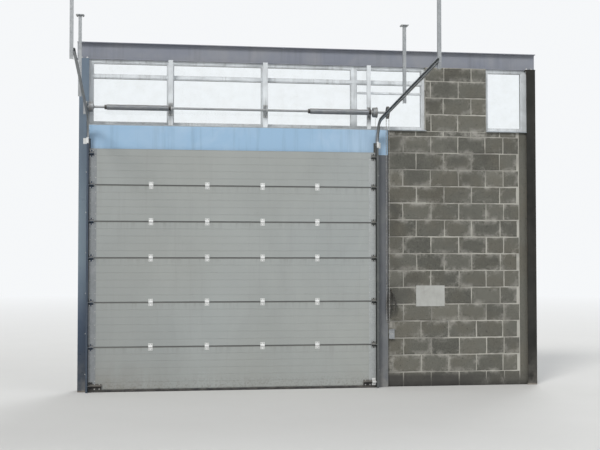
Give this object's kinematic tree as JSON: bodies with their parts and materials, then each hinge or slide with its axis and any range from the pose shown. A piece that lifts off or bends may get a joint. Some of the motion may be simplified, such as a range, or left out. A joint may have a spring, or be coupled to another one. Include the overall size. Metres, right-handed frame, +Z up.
{
  "type": "factory end-wall bay with an overhead sectional door",
  "caption": "One bay of a factory's end wall: a closed overhead sectional door on spring shaft and tracks, steel columns, block wall and a high window band.",
  "frame": {"origin": "middle of the left column's base plate, on its underside, at floor level", "axes": "+X along the wall to the right as seen from the room, +Y through the wall to the outside, +Z up"},
  "size_m": [6.61, 3.5689, 4.825],
  "materials": {
    "blue_steel": "blue-grey gloss paint, worn and dusty",
    "light_blue_steel": "light steel-blue gloss paint, faded and dusty",
    "dark_steel": "dark paint, dull and dusty",
    "grey_steel": "blue-grey satin paint, dusty",
    "beam_steel": "light blue-grey satin paint, dusty",
    "base_steel": "dark paint with rust",
    "block": "bare dark aggregate blocks with pale mortar joints",
    "window_frame": "satin, dusty",
    "sill": "satin grey sheet",
    "glass": "clear, dusty",
    "door_panel": "satin coil coating with fine embossing, dirty low down and along the joints",
    "rubber": "matt black",
    "bright_zinc": "bright zinc plating",
    "galvanised": "dull zinc spangle",
    "dull_zinc": "old zinc, dark and dusty",
    "spring_steel": "grey oil-tempered wire",
    "dark_hardware": "oiled dark steel",
    "steel_wire": "plated wire",
    "white_sheet": "matt off-white sheet, dusty"
  },
  "bodies": {
    "root": {"column_left": "blue_steel", "lintel": "light_blue_steel", "column_right": "dark_steel", "door_post": "grey_steel", "eaves_beam": "beam_steel", "base_plates": "base_steel", "block_wall": "block", "block_pier": "block", "window_frames": "window_frame", "window_bars": "window_frame", "shaft_uprights": "window_frame", "window_sills": "sill", "window_panes": "glass", "door_section_1": "door_panel", "door_section_2": "door_panel", "door_section_3": "door_panel", "door_section_4": "door_panel", "door_section_5": "door_panel", "door_section_6": "door_panel", "bottom_seal": "rubber", "jamb_seals": "rubber", "centre_hinges": "bright_zinc", "end_caps_left": "galvanised", "end_caps_right": "galvanised", "rollers": "galvanised", "top_track_left": "galvanised", "top_track_right": "galvanised", "track_curve_left": "galvanised", "track_curve_right": "galvanised", "track_hangers": "galvanised", "shaft": "galvanised", "cable_drums": "galvanised", "bearing_plates": "galvanised", "chain_keeper": "galvanised", "jamb_angles": "dull_zinc", "track_left": "dull_zinc", "track_right": "dull_zinc", "end_hinges": "dull_zinc", "torsion_springs": "spring_steel", "bottom_brackets": "dark_hardware", "chain_wheel": "dark_hardware", "lift_cables": "steel_wire", "hand_chain": "steel_wire", "wall_plate": "white_sheet"}
  },
  "joints": []
}
